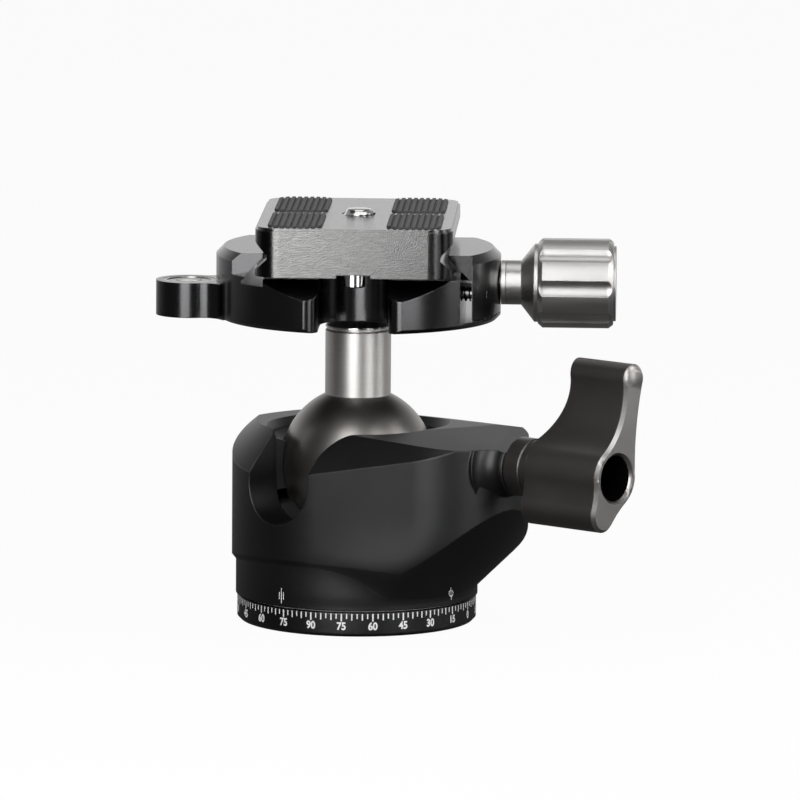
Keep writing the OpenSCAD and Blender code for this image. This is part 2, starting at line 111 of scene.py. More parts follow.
class Finish:
    """A surface with one Principled shader, built by asking for nodes by type."""

    def __init__(self, name, shade=(0.5, 0.5, 0.5), rough=0.5, metal=0.0):
        self.mat = bpy.data.materials.new(name)
        self.mat.use_nodes = True
        self.tree = self.mat.node_tree
        self.shader = self.tree.nodes["Principled BSDF"]
        self.set("Base Color", (*shade, 1))
        self.set("Roughness", rough)
        self.set("Metallic", metal)

    def set(self, socket, value):
        target = self.shader.inputs[socket]
        if isinstance(value, Sock):
            self.tree.links.new(value.out, target)
        else:
            target.default_value = value

    def node(self, kind, settings=None, out=0, **values):
        """Any node: its settings first, then its sockets, by name or as i0, i1 by number."""
        made = self.tree.nodes.new("ShaderNode" + kind)
        for key, value in (settings or {}).items():
            setattr(made, key, value)
        for key, value in values.items():
            by_number = key[0] == "i" and key[1:].isdigit()
            target = made.inputs[int(key[1:]) if by_number else key]
            if isinstance(value, Sock):
                self.tree.links.new(value.out, target)
            else:
                target.default_value = value
        return Sock(self.tree, made.outputs[out])

    def place(self, scale=(1, 1, 1), turn=(0, 0, 0), shift=(0, 0, 0)):
        at = self.node("TexCoord", out=3)
        return self.node("Mapping", Vector=at, Scale=scale, Rotation=turn, Location=shift)

    def axis(self, number, at=None):
        """One coordinate of a place: 0 is x, 1 is y and 2 is z."""
        return self.node("SeparateXYZ", out=number, Vector=at or self.place())

    def fade(self, value, start, end, low, high, kind="LINEAR"):
        """A number that goes from low to high while the value goes from start to end."""
        how = {"interpolation_type": kind}
        return self.node("MapRange", how, i0=value, i1=start, i2=end, i3=low, i4=high)

    def noise(self, scale, detail=2.0, vector=None):
        return self.node("TexNoise", Vector=vector or self.place(), Scale=scale, Detail=detail)

    def mix(self, mask, low, high):
        return self.node("Mix", {"data_type": "RGBA"}, out=2, i0=mask, i6=low, i7=high)

    def bump(self, height, depth, strength=1.0, normal=None):
        more = {"Normal": normal} if normal else {}
        return self.node("Bump", Height=height, Distance=depth, Strength=strength, **more)

    def rounded(self, radius):
        """The normal of an edge broken to that radius, and a mask of where the break is."""
        soft = self.node("Bevel", {"samples": 4}, Radius=radius)
        flat = self.node("NewGeometry", out=1)
        agree = self.node("VectorMath", {"operation": "DOT_PRODUCT"}, out=1, i0=soft, i1=flat)
        return soft, ((1 - agree) * 9.0).clamped()

    def on(self, *nodes):
        for name in nodes:
            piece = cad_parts[name]
            piece.data.materials.clear()
            piece.data.materials.append(self.mat)


bpy.ops.object.select_all(action="DESELECT")
bpy.ops.mesh.primitive_plane_add(size=6)
floor = bpy.context.object
floor.name = "floor"
paper = Finish("white_paper", (0.8, 0.8, 0.8), 0.9)
paper.set("Specular IOR Level", 0.1)
in_camera = paper.node("LightPath", out=0)
in_gloss = paper.node("LightPath", out=3)
in_glass = paper.node("LightPath", out=6)
# Painted reflection for the metals: the paper glows dark in front and white behind.
paper_back = paper.fade(paper.axis(1), 0.0, 0.9, 0.07, 0.95, "SMOOTHSTEP")
paper_glow = paper.node("CombineColor", i0=paper_back, i1=paper_back, i2=paper_back)
paper_colour = paper.mix((in_camera + in_glass).clamped(), paper_glow, (1, 1, 1, 1))
paper_white = paper.node("Emission", Color=paper_colour, Strength=1.0)
plain_share = 0.95
paper_plain = (in_camera * plain_share + in_gloss + in_glass).clamped()
paper_seen = paper.node("MixShader", i0=paper_plain, i2=paper_white)
paper.tree.links.new(paper.shader.outputs[0], paper_seen.out.node.inputs[1])
paper.tree.links.new(paper_seen.out, paper.tree.nodes["Material Output"].inputs["Surface"])
floor.data.materials.append(paper.mat)


# ---------------------------------------------------------------- room
# A white wall stands behind the head and the rest of the room is dim, so that dark metal keeps
# its dark side faces and only what looks past the head catches the wall.
class Room(Finish):
    """The world's own nodes, asked for in the same way."""

    def __init__(self, name):
        self.world = bpy.data.worlds.new(name)
        self.world.use_nodes = True
        self.tree = self.world.node_tree
        self.shader = self.tree.nodes["Background"]


room = Room("studio")
scene.world = room.world
heading = room.axis(1, room.node("TexCoord", out=0))
height = room.axis(2, room.node("TexCoord", out=0))
behind = room.fade(heading, 0.15, 0.75, 0.0, 0.9, "SMOOTHSTEP")
below = room.fade(height, 0.24, 0.46, 1.0, 0.3, "SMOOTHSTEP")
dim_light = 0.035
wall_light = behind * below + dim_light
room.set("Strength", room.node("Mix", i0=room.node("LightPath", out=0), i2=wall_light, i3=1.0))
room.set("Color", (1, 1, 1, 1))


# ---------------------------------------------------------------- soft lamps
# Two tall softboxes in front give the housing and the plate their broad sheen, one overhead
# lights the decks, and one on each side draws the rims of the knob, the lever and the ball.
def softbox(name, place, size, aim, watts):
    data = bpy.data.lights.new(name, "AREA")
    data.shape = "RECTANGLE"
    data.size, data.size_y = size
    data.energy = watts
    lamp = bpy.data.objects.new(name, data)
    scene.collection.objects.link(lamp)
    lamp.location = place
    lamp.visible_camera = False
    lamp.rotation_euler = (Vector(aim) - Vector(place)).to_track_quat("-Z", "Y").to_euler()


def around(azimuth, distance, height):
    """A place round the head: azimuth 0 is straight in front, plus is to the right."""
    turn = math.radians(azimuth)
    return (math.sin(turn) * distance, -math.cos(turn) * distance, height)


softbox("front_box", around(-15, 0.345, 0.28), (0.19, 0.54), (0, 0, 0.28), 1.54)
softbox("right_strip", around(42, 0.42, 0.28), (0.15, 0.54), (0, 0, 0.28), 0.95)
softbox("top_box", (0.0, 0.05, 0.9), (0.6, 0.6), (0, 0, 0), 1.4)
softbox("side_right", around(86, 0.55, 0.25), (0.2, 0.5), (0, 0, 0.1), 1.1)
softbox("side_left", around(-100, 0.6, 0.25), (0.16, 0.5), (0, 0, 0.05), 0.12)


# ---------------------------------------------------------------- base ring and housing
# Both are machined from aluminium bar, bead-blasted and anodised black, the ring darker. The
# blasting leaves a fine grain and takes the sharpness off the edges, where the black wears a
# little paler. The housing's flare runs into the barrel softly, without an edge.
lock_azimuth = math.radians(-37.5)


def blended_flare(black, sharp):
    """The body runs down into its waist through a wide soft blend, under the lock's boss only."""
    wide = black.node("Bevel", {"samples": 8}, Radius=0.005)
    outward = black.node("VectorMath", {"operation": "MULTIPLY"}, i0=black.place(), i1=(1, 1, 0))
    to_world = {"vector_type": "NORMAL", "convert_from": "OBJECT", "convert_to": "WORLD"}
    outward = black.node("VectorTransform", to_world, i0=outward)
    upright = black.node("VectorMath", {"operation": "NORMALIZE"}, i0=outward)
    softly = black.node("Mix", {"data_type": "VECTOR"}, out=1, i0=0.55, i4=wide, i5=upright)
    along = black.axis(0, black.place(turn=(0, 0, -lock_azimuth)))
    up = black.axis(2)
    short_of_face = black.fade(along, 0.031, 0.037, 1.0, 0.0, "SMOOTHSTEP")
    lock_side = black.fade(along, -0.002, 0.008, 0.0, 1.0, "SMOOTHSTEP")
    below_barrel = black.fade(up, 0.01, 0.026, 1.0, 0.0, "SMOOTHSTEP")
    above_edge = black.fade(up, 0.0055, 0.0075, 0.0, 1.0)
    where = short_of_face * lock_side * below_barrel * above_edge
    mixed = black.node("Mix", {"data_type": "VECTOR"}, out=1, i0=where, i4=sharp, i5=softly)
    return black.node("VectorMath", {"operation": "NORMALIZE"}, i0=mixed)


def blasted_black(name, shade, rough, edge, flare=False):
    """Black anodising in clouds a little darker and lighter than the shade, paler on the edges."""
    black = Finish(name, metal=1.0)
    soft, worn = black.rounded(edge)
    if flare:
        soft = blended_flare(black, soft)
    clouds = black.noise(60, 3)
    darker = (shade * 0.85, shade * 0.85, shade * 0.87, 1)
    lighter = (shade * 1.15, shade * 1.15, shade * 1.18, 1)
    rubbed = (shade * 2.4, shade * 2.4, shade * 2.4, 1)
    black.set("Base Color", black.mix(worn * 0.35, black.mix(clouds, darker, lighter), rubbed))
    black.set("Normal", black.bump(black.noise(9000, 1), 0.00003, 0.5, soft))
    black.set("Roughness", clouds * 0.06 + rough)
    return black


blasted_black("black_housing", 0.056, 0.38, 0.0004, flare=True).on("housing")
blasted_black("black_base", 0.054, 0.36, 0.0004).on("base_plate", "spindle")


# ---------------------------------------------------------------- degree scale
# The panning scale is cut through the black anodising of the base ring and filled with white
# paint: a line every 2.5 degrees and a number every 15, from 90 down to 0 and up again.
ring_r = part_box("base_plate")[1][0]
scale_90_at = -109.73
line_step = 2.5
number_step = 15
line_top = 0.00452
number_foot = 0.00142
number_height = 0.00146
paint_depth = 0.00001
cutter_away = 0.03


def drawn_line(name, width, low, high, cuts=0):
    """A flat stroke of paint with a little thickness, drawn at x 0 between two heights."""
    bpy.ops.object.select_all(action="DESELECT")
    bpy.ops.mesh.primitive_plane_add(size=1)
    stroke = bpy.context.object
    stroke.name = name
    bpy.ops.object.mode_set(mode="EDIT")
    bpy.ops.transform.resize(value=(width, high - low, 1))
    bpy.ops.transform.translate(value=(0, (high + low) / 2, -paint_depth))
    if cuts:
        bpy.ops.mesh.subdivide(number_cuts=cuts)
    bpy.ops.mesh.extrude_region_move(TRANSFORM_OT_translate={"value": (0, 0, 2 * paint_depth)})
    bpy.ops.mesh.select_all(action="SELECT")
    bpy.ops.mesh.normals_make_consistent(inside=False)
    bpy.ops.object.mode_set(mode="OBJECT")
    return stroke


def drawn_number(name, number, height):
    """A number in narrow upright figures, centred on x 0 and standing on y 0."""
    bpy.ops.object.select_all(action="DESELECT")
    bpy.ops.object.text_add()
    figures = bpy.context.object
    figures.data.body = str(number)
    figures.data.align_x = "CENTER"
    figures.data.size = height * 1.4
    figures.data.extrude = paint_depth
    figures.data.offset = height * 0.045
    figures.data.resolution_u = 4
    bpy.ops.object.convert(target="MESH")
    figures.name = name
    figures.scale.x = 0.9
    bpy.ops.object.transform_apply(location=True, rotation=True, scale=True)
    return figures


def wrapped(drawing, radius, azimuth, foot=0.0, wall=None, cut_from=None):
    """A copy of a flat drawing, rolled onto a round wall about the main axis or laid on a piece.

    On a piece, the drawing is carried onto the wall along the radius, or from a given direction.
    """
    copy = drawing.copy()
    copy.data = drawing.data.copy()
    scene.collection.objects.link(copy)
    start = math.radians(azimuth)
    for vertex in copy.data.vertices:
        x, y, out = vertex.co
        turn = start + x / radius
        away = Vector((math.cos(turn), math.sin(turn), 0))
        spot = away * radius + Vector((0, 0, y + foot))
        if wall:
            away = cut_from or away
            spot = wall.ray_cast(spot + away * cutter_away, -away)[1]
        vertex.co = spot + away * out
    return copy


def joined(name, copies, drawings):
    """One piece made of the copies; the flat drawings they came from are thrown away."""
    for drawing in drawings:
        bpy.data.objects.remove(drawing)
    bpy.ops.object.select_all(action="DESELECT")
    for copy in copies:
        copy.select_set(True)
    bpy.context.view_layer.objects.active = copies[0]
    bpy.ops.object.join()
    copies[0].name = name
    copies[0].data.materials.clear()
    return copies[0]


short_line = drawn_line("short_line", 0.00023, line_top - 0.00096, line_top)
mid_line = drawn_line("mid_line", 0.00025, line_top - 0.00126, line_top)
long_line = drawn_line("long_line", 0.00029, line_top - 0.00146, line_top)
lines = []
for i in range(144):
    kind = long_line if i % 6 == 0 else mid_line if i % 2 == 0 else short_line
    lines.append(wrapped(kind, ring_r, scale_90_at + i * line_step))
degree_lines = joined("degree_lines", lines, (short_line, mid_line, long_line))

numbers = []
figures = {n: drawn_number("figure", n, number_height) for n in range(0, 91, number_step)}
for i in range(24):
    label = abs(90 - (i * number_step) % 180)
    numbers.append(wrapped(figures[label], ring_r, scale_90_at + i * number_step, number_foot))
degree_numbers = joined("degree_numbers", numbers, figures.values())

paint = Finish("white_fill", rough=0.55)
chips = paint.noise(2600, 3)
paint.set("Base Color", paint.mix(chips, (0.52, 0.52, 0.52, 1), (0.86, 0.86, 0.86, 1)))
paint.set("Normal", paint.bump(chips, 0.00001, 0.4))
for piece in (degree_lines, degree_numbers):
    piece.data.materials.append(paint.mat)
    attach(piece, "base")


# ---------------------------------------------------------------- index marks
# Two marks on the housing's waist are read against the scale: three upright lines under the
# notch, and a line through a small ring under the lock lever, which is cut from in front because
# the flare starts there. They are filled like the scale.
waist_r = 0.0236
notch_mark_at = -125.5
lock_mark_at = -36.65
side_gap = 0.0005
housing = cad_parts["housing"]
bpy.context.view_layer.update()
centre_line = drawn_line("centre_line", 0.00017, 0.0057, 0.0087, 11)
side_line = drawn_line("side_line", 0.00016, 0.0065, 0.0079, 5)
lines_mark = [wrapped(centre_line, waist_r, notch_mark_at, wall=housing)]
for x in (-side_gap, side_gap):
    lines_mark.append(wrapped(side_line, waist_r, notch_mark_at + math.degrees(x / waist_r), wall=housing))
index_lines = joined("index_lines", lines_mark, (side_line,))

bpy.ops.object.select_all(action="DESELECT")
bpy.ops.mesh.primitive_torus_add(major_segments=40, minor_segments=8, major_radius=0.00062,
                                 minor_radius=0.0001)
small_ring = bpy.context.object
bpy.ops.object.mode_set(mode="EDIT")
bpy.ops.transform.resize(value=(1, 1.28, 0.15))
bpy.ops.object.mode_set(mode="OBJECT")
front = Vector((0, -1, 0))
stem = wrapped(centre_line, waist_r, lock_mark_at, 0.0003, housing, front)
loop = wrapped(small_ring, waist_r, lock_mark_at, 0.00745, housing, front)
index_ring = joined("index_ring", [stem, loop], (centre_line, small_ring))
for piece in (index_lines, index_ring):
    piece.data.materials.append(paint.mat)
    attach(piece, "housing")


# ---------------------------------------------------------------- tripod bushing and its thread
# A stainless steel bushing is pressed into the base and locked by two pins. Its 3/8 inch thread
# is cut 16 to the inch, and is modelled as one ridge wound up the bore. The disc, the springy
# cup washer, the pins and the screws inside the head are turned from the same steel.
steel = Finish("turned_steel", metal=1.0)
lathe_lines = steel.noise(1.0, 2, steel.place((500, 500, 9000)))
steel.set("Base Color", steel.mix(lathe_lines, (0.42, 0.42, 0.43, 1), (0.6, 0.6, 0.61, 1)))
steel.set("Roughness", lathe_lines * 0.16 + 0.24)
steel.set("Normal", steel.bump(lathe_lines, 0.00001, 0.4, steel.rounded(0.0001)[0]))
steel.on("thread_bushing", "bushing_pins", "retaining_disc", "retaining_screws", "cup_spring", "lock_screw",
         "pan_lock_screw", "head_screw", "head_pins", "clamp_screw")


def wound(name, outline, pitch, turns, steps):
    """A closed outline of (radius, height) points carried up a helix, with both ends capped."""
    bpy.ops.object.select_all(action="DESELECT")
    bpy.ops.mesh.primitive_circle_add(vertices=len(outline), fill_type="NOTHING")
    ridge = bpy.context.object
    ridge.name = name
    for vertex, (radius, height) in zip(ridge.data.vertices, outline):
        vertex.co = (radius, 0, height)
    screw = ridge.modifiers.new("screw", "SCREW")
    screw.axis = "Z"
    screw.angle = 2 * math.pi
    screw.screw_offset = pitch
    screw.iterations = turns
    screw.steps = screw.render_steps = steps
    bpy.ops.object.modifier_apply(modifier="screw")
    bpy.ops.object.mode_set(mode="EDIT")
    bpy.ops.mesh.select_all(action="SELECT")
    bpy.ops.mesh.remove_doubles(threshold=1e-7)
    bpy.ops.mesh.fill_holes(sides=len(outline))
    bpy.ops.mesh.select_all(action="SELECT")
    bpy.ops.mesh.normals_make_consistent(inside=False)
    bpy.ops.object.mode_set(mode="OBJECT")
    bpy.ops.object.shade_smooth_by_angle(angle=math.radians(35))
    return ridge


bore_r = 0.0047625
tripod_pitch = 0.0254 / 16
sunk = 0.00002
tripod_outline = [(bore_r - 0.0006, 0.0011), (bore_r + sunk, 0.00055), (bore_r + sunk, 0.00165)]
tripod_ridge = wound("tripod_ridge", tripod_outline, tripod_pitch, 4, 32)
tripod_ridge.data.materials.append(steel.mat)
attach(tripod_ridge, "base")


# ---------------------------------------------------------------- bearing and brake polymer
# The slip rings, the brake pad and the brake shoe are turned from pale acetal, and the cup and
# the liner that hold the ball from the same polymer filled black. Both keep fine tool lines.
def turned_polymer(name, low, high, rough):
    polymer = Finish(name)
    tool_lines = polymer.noise(1.0, 3, polymer.place((300, 300, 5000)))
    polymer.set("Base Color", polymer.mix(tool_lines, (*low, 1), (*high, 1)))
    polymer.set("Roughness", tool_lines * 0.12 + rough)
    polymer.set("Normal", polymer.bump(tool_lines, 0.00001, 0.5, polymer.rounded(0.0002)[0]))
    return polymer


turned_polymer("pale_polymer", (0.55, 0.55, 0.52), (0.66, 0.66, 0.62), 0.42).on(
    "lower_slip_ring", "upper_slip_ring", "pan_brake_pad", "lock_shoe")
black_polymer = turned_polymer("black_polymer", (0.012, 0.012, 0.013), (0.022, 0.022, 0.024), 0.45)
black_polymer.on("ball_cup", "ball_liner")


# ---------------------------------------------------------------- brass bushings
# The lock screw and the clamp screw run in brass bushings pressed into the aluminium. They are
# turned bright and have dulled a little in patches.
brass = Finish("turned_brass", metal=1.0)
tarnish = brass.noise(900, 3)
brass.set("Base Color", brass.mix(tarnish, (0.42, 0.3, 0.12, 1), (0.66, 0.5, 0.24, 1)))
brass.set("Roughness", tarnish * 0.2 + 0.22)
brass.set("Normal", brass.bump(tarnish, 0.00001, 0.4, brass.rounded(0.0001)[0]))
brass.on("lock_bushing", "screw_bushing")


# ---------------------------------------------------------------- lock lever
# The lever is cut from an extruded aluminium bar in a two-winged outline, blasted and anodised
# titanium grey. Its outer face gets a paler grey as a painted highlight, its chamfer is cut bright,
# and its bore is painted near black as painted shade.
# The sides take their shading from the outline alone, so that the wings curve without a ripple.
titanium = Finish("titanium_grey", metal=1.0)
titanium_soft, titanium_worn = titanium.rounded(0.0003)
titanium_clouds = titanium.noise(90, 3)
titanium_tone = titanium.mix(titanium_clouds, (0.15, 0.141, 0.137, 1), (0.195, 0.184, 0.178, 1))
titanium.set("Base Color", titanium.mix(titanium_worn * 0.5, titanium_tone, (0.34, 0.33, 0.32, 1)))
titanium.set("Roughness", titanium_clouds * 0.08 + 0.34)
titanium.set("Normal", titanium.bump(titanium.noise(7000, 1), 0.00004, 0.5, titanium_soft))
titanium.on("lock_collar", "lock_washer")

# A paler copy of the lever's grey for the outer face: a painted highlight.
end_face_highlight = Finish("end_painted_highlight", metal=1.0)
end_clouds = end_face_highlight.noise(120, 3)
end_face_highlight.set("Base Color", end_face_highlight.mix(end_clouds, (0.3, 0.288, 0.28, 1), (0.37, 0.355, 0.345, 1)))
end_face_highlight.set("Roughness", end_clouds * 0.08 + 0.36)
end_face_highlight.set("Normal", end_face_highlight.bump(end_face_highlight.noise(7000, 1), 0.00003, 0.5))

bright_cut = Finish("bright_cut", metal=1.0)
cutter_lines = bright_cut.noise(1200, 2)
bright_cut.set("Base Color", bright_cut.mix(cutter_lines, (0.36, 0.35, 0.34, 1), (0.44, 0.43, 0.42, 1)))
bright_cut.set("Roughness", cutter_lines * 0.1 + 0.3)

lock_way = Vector((math.cos(lock_azimuth), math.sin(lock_azimuth), 0))
lever_end = 0.0643
lock_height = 0.034
bore_wall = 0.00442
chamfer = 0.0006
hair = 1e-5
smooth_angle = math.radians(28)


def own_copy(node, name):
    """The CAD node's mesh as a piece of its own, with its doubled points merged."""
    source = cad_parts[node]
    piece = bpy.data.objects.new(name, source.data.copy())
    scene.collection.objects.link(piece)
    bpy.ops.object.select_all(action="DESELECT")
    piece.select_set(True)
    bpy.context.view_layer.objects.active = piece
    bpy.ops.object.mode_set(mode="EDIT")
    bpy.ops.mesh.select_mode(type="VERT")
    bpy.ops.mesh.select_all(action="SELECT")
    bpy.ops.mesh.remove_doubles(threshold=1e-6)
    bpy.ops.mesh.select_all(action="DESELECT")
    bpy.ops.object.mode_set(mode="OBJECT")
    piece.data.materials.clear()
    return piece


def choose(piece, faces=None, points=None):
    """Selects only the faces or the points that pass the test, and goes into edit mode."""
    bpy.ops.object.mode_set(mode="EDIT")
    bpy.ops.mesh.select_mode(type="FACE" if faces else "VERT")
    bpy.ops.mesh.select_all(action="DESELECT")
    bpy.ops.object.mode_set(mode="OBJECT")
    if faces:
        for face in piece.data.polygons:
            face.select = faces(face)
    else:
        for vertex in piece.data.vertices:
            vertex.select = points(vertex)
    bpy.ops.object.mode_set(mode="EDIT")


# Near black for the lever's bore: painted shade inside the hole.
bore_painted_shade = Finish("bore_painted_shade", rough=0.7)
bore_shade_noise = bore_painted_shade.noise(1500, 2)
bore_painted_shade.set("Base Color", bore_painted_shade.mix(bore_shade_noise, (0.001, 0.001, 0.001, 1), (0.003, 0.003, 0.003, 1)))
bore_painted_shade.set("Specular IOR Level", 0.02)


def on_end(place):
    """A place lies on the lever's outer face."""
    return place.dot(lock_way) > lever_end - hair


def is_side(face):
    """A face of the extruded outline runs along the lever's axis."""
    return abs(face.normal.dot(lock_way)) < 0.02


lever = own_copy("lock_lever", "lever")
outline = []
for face in lever.data.polygons:
    tips = [lever.data.vertices[i].co for i in face.vertices]
    tips = [tip - lock_way * lever_end for tip in tips if on_end(tip)]
    if len(tips) == 2 and is_side(face):
        outline.append((tips[0], tips[1], face.normal.copy()))
choose(lever, faces=lambda face: face.normal.dot(lock_way) > 0.99 and on_end(face.center))
bpy.ops.mesh.inset(thickness=chamfer, use_even_offset=True)
bpy.ops.object.mode_set(mode="OBJECT")
inner = {v for face in lever.data.polygons if face.select for v in face.vertices}
choose(lever, points=lambda vertex: on_end(vertex.co) and vertex.index not in inner)
bpy.ops.transform.translate(value=-lock_way * chamfer)
bpy.ops.object.mode_set(mode="OBJECT")
for finish in (titanium, bright_cut, end_face_highlight, bore_painted_shade):
    lever.data.materials.append(finish.mat)
for face in lever.data.polygons:
    along = face.center.dot(lock_way)
    facing = face.normal.dot(lock_way)
    from_axis = (face.center - Vector((0, 0, lock_height)) - lock_way * along).length
    if 0.3 < facing < 0.95 and along > lever_end - chamfer:
        face.material_index = 1
    elif facing > 0.95 and on_end(face.center):
        face.material_index = 2
    elif from_axis < bore_wall:
        face.material_index = 3
bpy.ops.object.shade_smooth_by_angle(angle=smooth_angle)


def corner_way(tip, own):
    """The outline's normal at a corner: its sides' normals, each counting by its length."""
    total = Vector()
    for start, end, normal in outline:
        touches = min((start - tip).length, (end - tip).length) < 2e-6
        if touches and normal.dot(own) > math.cos(smooth_angle):
            total += normal * (end - start).length
    return total.normalized()


def side_way(place, own):
    """The outline's normal beside a place on the lever's side, which faces the way own does."""
    spot = place - lock_way * place.dot(lock_way)
    nearest, way = None, None
    for start, end, normal, first, last in sides:
        if normal.dot(own) > 0.95:
            share = (spot - start).dot(end - start) / (end - start).length_squared
            share = min(max(share, 0.0), 1.0)
            gap = (start.lerp(end, share) - spot).length
            if nearest is None or gap < nearest:
                nearest, way = gap, first.lerp(last, share).normalized()
    return way


sides = [(*side, corner_way(side[0], side[2]), corner_way(side[1], side[2])) for side in outline]
shading = [corner.vector.copy() for corner in lever.data.corner_normals]
for face in lever.data.polygons:
    if is_side(face):
        for i in face.loop_indices:
            place = lever.data.vertices[lever.data.loops[i].vertex_index].co
            shading[i] = side_way(place, face.normal) or shading[i]
lever.data.normals_split_custom_set(shading)
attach(lever, "lock_knob")
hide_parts("lock_lever")

black_oxide = Finish("black_oxide", metal=0.6)
oxide_clouds = black_oxide.noise(1500, 3)
oxide_dark = (0.015, 0.015, 0.016, 1)
oxide_pale = (0.035, 0.035, 0.037, 1)
black_oxide.set("Base Color", black_oxide.mix(oxide_clouds, oxide_dark, oxide_pale))
black_oxide.set("Roughness", oxide_clouds * 0.15 + 0.35)
black_oxide.set("Normal", black_oxide.bump(oxide_clouds, 0.00001, 0.4, black_oxide.rounded(0.0001)[0]))
black_oxide.on("lever_screw")


# ---------------------------------------------------------------- pan lock knob
# A small turned knob with a diamond knurl rolled into its rim for grip, anodised black like the
# housing. Its screw presses a polymer pad onto the base's spindle.
knurled = blasted_black("knurled_black", 0.035, 0.32, 0.0002)
pan_azimuth = lock_azimuth + math.pi / 2
pan_height = 0.0082
knurl_count = 24.0
knurl_along = 5200.0
across = knurled.place(turn=(0, 0, -pan_azimuth), shift=(0, 0, -pan_height))
knurl_turn = knurled.axis(1, across).maths("ARCTAN2", knurled.axis(2, across)) * knurl_count
knurl_way = knurled.axis(0, across) * knurl_along
diamonds = (knurl_turn + knurl_way).maths("SINE").maths("MAXIMUM", (knurl_turn - knurl_way).maths("SINE"))
knurled.set("Normal", knurled.bump(diamonds, 0.00012, 1.0))
knurled.on("pan_lock_knob")


# ---------------------------------------------------------------- ball
# The ball is aluminium, turned to a fine finish and hard-anodised dark grey. Close rings from
# the lathe run round it and hold a thin film of grease.
grey_ball = Finish("hard_anodised_grey", metal=1.0)
ball_rings = grey_ball.noise(1.0, 2, grey_ball.place((120, 120, 6000)))
ball_film = grey_ball.noise(140, 3)
grey_ball.set("Base Color", grey_ball.mix(ball_film, (0.22, 0.21, 0.2, 1), (0.285, 0.272, 0.26, 1)))
grey_ball.set("Roughness", ball_film * 0.1 + 0.31)
grey_ball.set("Normal", grey_ball.bump(ball_rings, 0.000012, 0.5))
grey_ball.on("ball")


# ---------------------------------------------------------------- neck
# The neck is a silver-anodised aluminium stem screwed into the ball, and the clamp sits on the
# polished steel ring on top of it. A lathe tool leaves fine rings all the way up.
neck_silver = Finish("turned_silver", metal=1.0)
neck_rings = neck_silver.noise(1.0, 3, neck_silver.place((150, 150, 7000)))
neck_silver.set("Base Color", neck_silver.mix(neck_rings, (0.62, 0.6, 0.58, 1), (0.76, 0.74, 0.72, 1)))
neck_silver.set("Roughness", neck_rings * 0.12 + 0.31)
neck_silver.set("Normal", neck_silver.bump(neck_rings, 0.000012, 0.6, neck_silver.rounded(0.0002)[0]))
neck_silver.on("neck", "knob_washer", "level_bezel")

polished = Finish("polished_steel", metal=1.0)
polish_haze = polished.noise(2000, 3)
polished.set("Base Color", polished.mix(polish_haze, (0.74, 0.74, 0.74, 1), (0.86, 0.86, 0.86, 1)))
polished.set("Roughness", polish_haze * 0.08 + 0.08)
polished.set("Normal", polished.rounded(0.00015)[0])
polished.on("neck_ring", "stop_screws", "screw_retainer")


# ---------------------------------------------------------------- clamp and its jaw
# Disc, level arm and jaw are milled aluminium with a smooth, almost glossy black anodising, so
# they mirror their surroundings more than the blasted housing does.
gloss_black = Finish("gloss_black", metal=1.0)
gloss_soft, gloss_worn = gloss_black.rounded(0.00025)
gloss_clouds = gloss_black.noise(80, 3)
gloss_tone = gloss_black.mix(gloss_clouds, (0.058, 0.058, 0.06, 1), (0.078, 0.078, 0.08, 1))
gloss_black.set("Base Color", gloss_black.mix(gloss_worn * 0.4, gloss_tone, (0.2, 0.2, 0.2, 1)))
gloss_black.set("Specular Tint", (0.75, 0.75, 0.75, 1))
gloss_black.set("Coat Weight", 0.35)
gloss_black.set("Coat Roughness", 0.12)
gloss_black.set("Roughness", gloss_clouds * 0.05 + 0.18)
gloss_black.set("Normal", gloss_black.bump(gloss_black.noise(8000, 1), 0.00002, 0.4, gloss_soft))
gloss_black.on("clamp_body", "moving_jaw")


# ---------------------------------------------------------------- level
# A round spirit level is pushed into the arm: a silver bezel, a clear acrylic vial, green spirit
# with a bubble in it, and a printed ring that the bubble is centred in.
vial = Finish("clear_acrylic", (0.93, 0.96, 0.9), 0.05)
vial.set("Transmission Weight", 1.0)
vial.set("IOR", 1.49)
vial_scuffs = vial.noise(1200, 3)
vial.set("Roughness", vial_scuffs * 0.1 + 0.02)
vial.on("level_vial")

spirit = Finish("green_spirit", rough=0.08)
spirit_depth = spirit.noise(300, 1)
spirit.set("Base Color", spirit.mix(spirit_depth, (0.46, 0.52, 0.3, 1), (0.56, 0.62, 0.38, 1)))
spirit.on("level_fluid")

level_low, level_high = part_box("level_fluid")
level_at = (level_low[0] + level_high[0]) / 2
bubble_at = (level_at, 0, level_high[2])
bpy.ops.object.select_all(action="DESELECT")
bpy.ops.mesh.primitive_uv_sphere_add(segments=32, ring_count=16, radius=0.0016, location=bubble_at)
bubble = bpy.context.object
bubble.name = "level_bubble"
bpy.ops.object.mode_set(mode="EDIT")
bpy.ops.mesh.select_all(action="SELECT")
bpy.ops.mesh.bisect(plane_co=bubble_at, plane_no=(0, 0, 1), clear_outer=True, use_fill=True)
bpy.ops.mesh.select_all(action="SELECT")
bpy.ops.transform.resize(value=(1, 1, 0.4), center_override=bubble_at)
bpy.ops.transform.translate(value=(0, 0, 0.00003))
bpy.ops.object.mode_set(mode="OBJECT")
bpy.ops.object.transform_apply(location=True, rotation=True, scale=True)
bpy.ops.object.shade_smooth_by_angle(angle=math.radians(40))
air = Finish("bubble_air", rough=0.12)
air_sheen = air.noise(500, 1)
air.set("Base Color", air.mix(air_sheen, (0.72, 0.76, 0.6, 1), (0.84, 0.87, 0.74, 1)))
bubble.data.materials.append(air.mat)
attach(bubble, "head")

